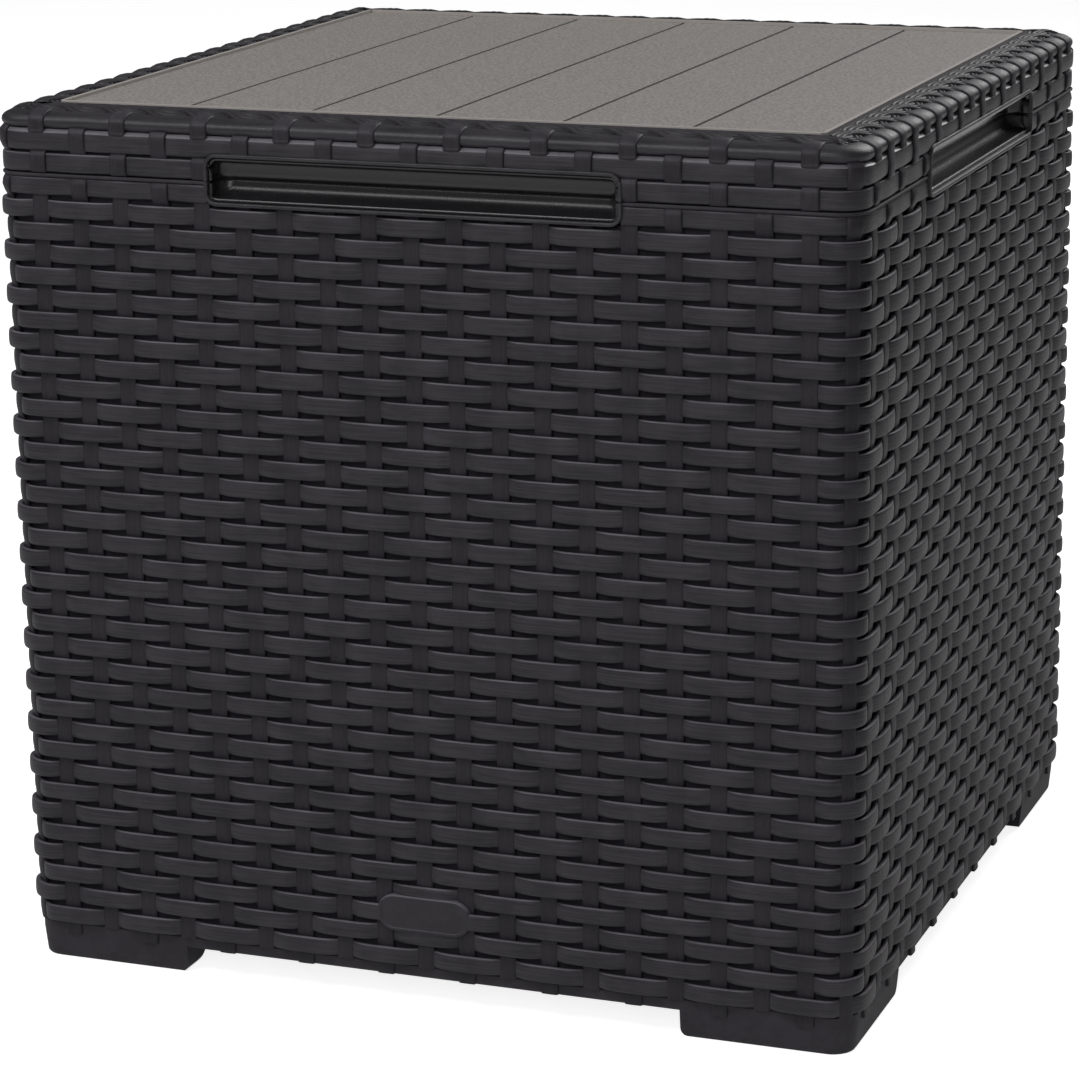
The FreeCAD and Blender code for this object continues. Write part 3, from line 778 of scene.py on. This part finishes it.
def wall_inside(parts, face):
    """Stiffening ribs, the rim that locates the lid, and on a side wall the tongues that join the others."""
    is_side = face % 2 == 1
    for column in RIB_COLUMNS:
        x = (column - MIDDLE_COLUMN) * PITCH
        slab(parts, face, (x - RIB_HALF, x + RIB_HALF), (RIB_DEPTH, SKIN_IN + SKIN_BITE), RIB_LEVELS)
    reach = SEAM if is_side else LOCATOR_END
    for side in (-1, 1):
        slab(parts, face, (side * LOCATOR_START, side * reach), LOCATOR_DEPTHS, LOCATOR_LEVELS)
        if is_side:
            slab(parts, face, (side * TONGUE_START, side * TONGUE_END), TONGUE_DEPTHS, TONGUE_LEVELS)


def slot_walls(parts, face, side):
    """Slot at one end of a side face, moulded with the front or back wall."""
    slab(parts, face, (side * SLOT_START, side * SLOT_END), SLOT_DEPTHS, SLOT_LEVELS)
    slab(parts, face, (side * SLOT_STOP, side * SLOT_END), SLOT_STOP_DEPTHS, SLOT_LEVELS)


def wall_ends(face):
    """Where a wall starts and ends: the front and back ones take in both corners."""
    reach = SEAM if face % 2 else FACE_RUN - SEAM
    return face * FACE_RUN - reach, face * FACE_RUN + reach


def build_walls():
    """The four walls, each as a shell, level strands and upright strands."""
    for face, name in enumerate(FACE_NAMES):
        start, end = wall_ends(face)
        node = name + "_panel"
        shell = wall_shell(start, end)
        wall_inside(shell, face)
        if face % 2 == 0:
            slot_walls(shell, (face + 1) % FACES, -1)
            slot_walls(shell, (face - 1) % FACES, 1)
        shell.object(name + "_shell", SHELL_RESIN, "box", [node], 35)
        wall_level_strands(start, end).object(name + "_level_strands", LEVEL_RESIN, "box", [node])
        wall_upright_strands(start, end).object(name + "_upright_strands", UPRIGHT_RESIN, "box", [node])


# Finger recesses

def frame_outline():
    """Front outline of the recess frame, as points and outward normals, from the upper left round."""
    x_mid = GRIP_HALF - GRIP_CORNER
    high = GRIP_TOP - GRIP_CORNER
    low = GRIP_BOTTOM + GRIP_CORNER
    points = []
    normals = []
    for side, z_mid, begin in ((-1, high, 0.5), (1, high, 0.0), (1, low, -0.5), (-1, low, -1.0)):
        for n in range(CORNER_POINTS):
            angle = math.pi * (begin + 0.5 - 0.5 * n / (CORNER_POINTS - 1))
            x = side * x_mid + GRIP_CORNER * math.cos(angle)
            points.append((x, z_mid + GRIP_CORNER * math.sin(angle)))
            normals.append((math.cos(angle), math.sin(angle)))
    return np.array(points), np.array(normals)


def frame_bead(parts, face, upper):
    """Raised lip round the recess, its upper or lower half, carried on to the seam at both ends."""
    points, normals = frame_outline()
    seam = LID_BOTTOM if upper else WALL_TOP
    keep = slice(2 * CORNER_POINTS) if upper else slice(2 * CORNER_POINTS, None)
    line, out = points[keep], normals[keep]
    first = [[line[0, 0], seam]]
    last = [[line[-1, 0], seam]]
    line = np.concatenate([first, line, last])
    out = np.concatenate([out[:1], out, out[-1:]])
    grow, depth = np.array(FRAME_SECTION).T
    x = line[:, :1] + out[:, :1] * grow
    z = line[:, 1:] + out[:, 1:] * grow
    parts.bar(around_face(face, x, depth, z))


def cup_stations():
    """Stations along the recess: place, share of the depth, and how far the rounded corners draw it in."""
    half = GRIP_HALF - GRIP_LIP
    inner = GRIP_CORNER - GRIP_LIP
    straight = (-GRIP_DEPTH - GRIP_BEND) / -GRIP_DEPTH
    stations = [(half, 0.02), (half, 0.25)]
    for angle in math.pi / 2 * np.arange(9) / 8:
        place = half - GRIP_BEND * (1 - math.cos(angle))
        stations.append((place, straight + (1 - straight) * math.sin(angle)))
    rows = [(-x, share) for x, share in stations] + stations[::-1]
    x, share = np.array(rows).T
    into = np.clip(inner - (half - np.abs(x)), 0, None)
    rise = inner - np.sqrt(np.clip(inner ** 2 - into ** 2, 0, None))
    return x[:, None], share[:, None], rise[:, None]


def cup(face, upper):
    """Inner surface of the recess, its upper or lower half."""
    depth, z = np.array(UPPER_CUP if upper else LOWER_CUP).T
    x, share, rise = cup_stations()
    heights = np.minimum(z, CUP_TOP - rise)
    low_part = np.clip((CUP_BOTTOM + CUP_RISE_TOP - heights) / CUP_RISE_RUN, 0, 1)
    return around_face(face, x, depth * share, heights + low_part * rise)


def build_grips():
    """The finger recess of each face, half in the wall and half in the lid."""
    for face, name in enumerate(FACE_NAMES):
        node = name + "_panel"
        surface(name + "_recess", cup(face, False), CUP_RESIN, "box", [node])
        surface(name + "_lid_recess", cup(face, True), SMOOTH_RESIN, "lid", ["lid_rim"])
        lower, upper = Gathered(), Gathered()
        frame_bead(lower, face, False)
        lower.object(name + "_recess_lip", ROLL_RESIN, "box", [node], 60)
        frame_bead(upper, face, True)
        upper.object(name + "_lid_recess_lip", ROLL_RESIN, "lid", ["lid_rim"], 60)


# Plaque

def oval(grow):
    """Oval outline, grown outward by an amount."""
    radius = PLAQUE_ROUND + grow
    straight = PLAQUE_HALF - PLAQUE_ROUND
    points = []
    for side in (1, -1):
        for n in range(PLAQUE_END_STEPS + 1):
            angle = math.pi * (n / PLAQUE_END_STEPS - 0.5) + (0 if side == 1 else math.pi)
            points.append((side * straight + radius * math.cos(angle), PLAQUE_Z + radius * math.sin(angle)))
    return np.array(points)


def build_plaque():
    """Blank oval plate: raised rounded border and a plain field."""
    rings = []
    for grow, depth in PLAQUE_SECTION:
        x, z = oval(grow).T
        rings.append(around_face(0, x, depth, z))
    parts = Gathered()
    parts.bar(np.array(rings))
    parts.object("front_oval_plaque", PLAQUE_RESIN, "box", ["front_plaque"], 60)


# Lid

def lid_course(parts, z, depth, section):
    """A level course of the lid: whole above the finger recesses, in runs between them lower down."""
    if z > GRIP_TOP:
        level_strand(parts, LOOP_START, LOOP_END, z, depth, LID_LEVEL_HALF, section, loop=True)
        return
    for a, b in joined_spans(z, LID_LEVEL_HALF):
        level_strand(parts, a, b, z, depth, LID_LEVEL_HALF, section)


def build_lid_courses():
    """The two level courses of the lid, the ledge over the upper one, painted pale as a highlight, and the
    rolled edge.
    """
    levels, ledge, roll = Gathered(), Gathered(), Gathered()
    lid_course(levels, LOWER_COURSE_Z, flat_depth(1), FLAT_SECTION)
    lid_course(levels, UPPER_COURSE_Z, flat_depth(0, UPPER_MID), UPPER_SECTION)
    levels.object("lid_level_strands", LEVEL_RESIN, "lid", ["lid_rim"])
    lid_course(ledge, UPPER_COURSE_Z, flat_depth(0, UPPER_MID), LEDGE_SECTION)
    # The ledge is painted pale as a highlight
    ledge.object("lid_ledge", LEDGE_HIGHLIGHT_RESIN, "lid", ["lid_rim"])
    profile_sweep(roll, ROLL_SECTION, LOOP_START, LOOP_END, loop=True)
    roll.object("lid_rolled_edge", ROLL_RESIN, "lid", ["lid_rim"], 60)


def strap_line(low):
    """Face of a strap from its lower end, over the roll, to the braid."""
    line = [(0.6, low), (1.4, low + 1.5)]
    if low < ROLL_BOTTOM - 6:
        line += [(1.7, UPPER_COURSE_Z), (1.2, UPPER_COURSE_Z + 4)]
    return np.array(line + STRAP_OVER)


def strap(parts, t, low):
    """A strand lapped over the rolled edge: its section follows the strap's line."""
    line = strap_line(low)
    tangent = np.gradient(line, axis=0)
    tangent /= np.linalg.norm(tangent, axis=1)[:, None]
    out = np.stack([tangent[:, 1], -tangent[:, 0]], 1)
    across, under = STRAP_SECTION
    depth = line[:, :1] + out[:, :1] * under
    z = line[:, 1:] + out[:, 1:] * under
    parts.bar(around(t + across * UPRIGHT_HALF, depth, z))


def lid_column(parts, face, column):
    """An upright strand of the lid, and at an even column its strap over the roll.

    At the odd columns of a side face one long strap takes the strand's place.
    """
    t = face * FACE_RUN + (column - MIDDLE_COLUMN) * PITCH
    even = column % 2 == 0
    low = GRIP_TOP - LAP if in_grip(t, UPRIGHT_HALF) else LID_BOTTOM + 0.2
    if face % 2 == 1 and not even and column > 0:
        strap(parts, t, max(LONG_STRAP_LOW, low))
    else:
        upright_strand(parts, t, low, LID_UPRIGHT_TOP, lid_upright_depth(even))
    if even:
        strap(parts, t, STRAP_LOW)


def build_lid_uprights():
    """The upright strands of the lid, with their straps over the rolled edge."""
    parts = Gathered()
    for face in range(FACES):
        for column in range(FIRST_COLUMN, FIRST_COLUMN + COLUMNS):
            lid_column(parts, face, column)
    parts.object("lid_upright_strands", UPRIGHT_RESIN, "lid", ["lid_rim"])


def braid_cord(parts, phase, offset):
    """One cord of the twisted border between the roll and the planks."""
    t = np.linspace(LOOP_START, LOOP_END, FACES * COLUMNS * BRAID_STATIONS + 1)[:-1]
    turn = math.pi * (t / PITCH + MIDDLE_COLUMN + phase)
    depth = BRAID_MID + offset - BRAID_SWING * np.cos(turn)
    z = BRAID_Z + BRAID_RISE * np.sin(turn) - BRAID_FALL * np.clip(depth - BRAID_EDGE, 0, None)
    angles = np.arange(CORD_SIDES) / CORD_SIDES * 2 * math.pi
    ring_depth = depth[:, None] + CORD * np.cos(angles)
    ring_z = z[:, None] + CORD * np.sin(angles)
    parts.bar(around(t[:, None], ring_depth, ring_z), loop=True)


def build_braid():
    """The twisted border: two bundles of three cords that cross between the columns."""
    parts = Gathered()
    for phase in (0, 1):
        for lane in (-1, 0, 1):
            braid_cord(parts, phase, lane * CORD_SPACING)
    parts.object("lid_braid", BRAID_RESIN, "lid", ["lid_rim"], 80)


def build_lid_shell():
    """Skin of the lid above and between the recesses, tray under the border, and edge round the planks."""
    parts = Gathered()
    profile_sweep(parts, box_profile(*LID_SKIN), LOOP_START, LOOP_END, loop=True)
    for a, b in joined_spans(LID_BOTTOM + LAP, LAP):
        profile_sweep(parts, box_profile(*LID_SKIN_LOW), a, b)
    for box in (TRAY, PLANK_EDGE):
        profile_sweep(parts, box_profile(*box), LOOP_START, LOOP_END, loop=True)
    parts.object("lid_shell", SHELL_RESIN, "lid", ["lid_rim"], 35)


def dress_kept_nodes():
    """Planks and floor keep their own solids, with softened edges and a finish."""
    kept = (("lid_plank_top", PLANK_RESIN, PLANK_SOFT), ("floor_panel", FLOOR_RESIN, FLOOR_SOFT))
    for name, material, width in kept:
        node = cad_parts[name]
        node.data.materials.clear()
        node.data.materials.append(material)
        soft = node.modifiers.new("soft edges", "BEVEL")
        soft.width = width * MM
        soft.segments = 2
        soft.limit_method = "ANGLE"
        soft.angle_limit = math.radians(SOFT_ANGLE)


# Stage, light and camera

def pale_material(name):
    """White surface that keeps a shadow, lifted to white for the camera and a little for glossy surfaces."""
    material, tree, shader = new_material(name)
    ray = linked(tree, "ShaderNodeLightPath")
    shine = computed(tree, "MULTIPLY", ray.outputs["Is Glossy Ray"], STAGE_GLEAM)
    glow = computed(tree, "MULTIPLY_ADD", ray.outputs["Is Camera Ray"], STAGE_LIFT, shine)
    tree.links.new(glow, shader.inputs["Emission Strength"])
    shader.inputs["Base Color"].default_value = (0.8, 0.8, 0.8, 1)
    shader.inputs["Roughness"].default_value = 0.9
    shader.inputs["Emission Color"].default_value = (1, 1, 1, 1)
    return material


def build_stage():
    """A wide pale sheet on the ground."""
    corners = [(x * STAGE_HALF, y * STAGE_HALF, 0) for x, y in ((-1, -1), (1, -1), (1, 1), (-1, 1))]
    mesh = bpy.data.meshes.new("floor_sheet")
    mesh.from_pydata(corners, [], [(0, 1, 2, 3)])
    mesh.materials.append(pale_material("pale_floor"))
    floor = bpy.data.objects.new("floor_sheet", mesh)
    bpy.context.scene.collection.objects.link(floor)


def lamp(name, place, size, power):
    """Soft square lamp that looks at the middle of the box."""
    data = bpy.data.lights.new(name, "AREA")
    data.shape = "SQUARE"
    data.size = size
    data.energy = power
    item = bpy.data.objects.new(name, data)
    item.location = place
    item.rotation_euler = (Vector(LAMPS_AIM) - Vector(place)).to_track_quat("-Z", "Y").to_euler()
    bpy.context.scene.collection.objects.link(item)


def build_light():
    """A dim world that looks white to the camera, and three lamps."""
    world = bpy.data.worlds.new("studio")
    bpy.context.scene.world = world
    world.use_nodes = True
    tree = world.node_tree
    background = tree.nodes["Background"]
    ray = linked(tree, "ShaderNodeLightPath")
    seen = computed(tree, "MAXIMUM", ray.outputs["Is Camera Ray"], ray.outputs["Is Transmission Ray"])
    tree.links.new(ranged(tree, seen, 0.0, 1.0, WORLD_LIGHT, 1.0), background.inputs["Strength"])
    background.inputs["Color"].default_value = (1, 1, 1, 1)
    for name, place, size, power in LAMPS:
        lamp(name, place, size, power)


def build_camera():
    """The camera fitted to the photograph."""
    data = bpy.data.cameras.new("camera")
    data.lens = CAMERA_LENS
    data.sensor_width = 36
    data.clip_end = 100
    camera = bpy.data.objects.new("camera", data)
    view = Vector(CAMERA_VIEW).normalized()
    right = view.cross(Vector(CAMERA_UP)).normalized()
    up = right.cross(view)
    axes = Matrix((right, up, -view)).transposed().to_4x4()
    axes.translation = CAMERA_PLACE
    camera.matrix_world = axes
    bpy.context.scene.collection.objects.link(camera)
    bpy.context.scene.camera = camera


build_camera()
build_light()
build_stage()
build_walls()
build_grips()
build_plaque()
build_lid_courses()
build_lid_uprights()
build_braid()
build_lid_shell()
dress_kept_nodes()
bpy.context.scene.view_settings.view_transform = "Standard"
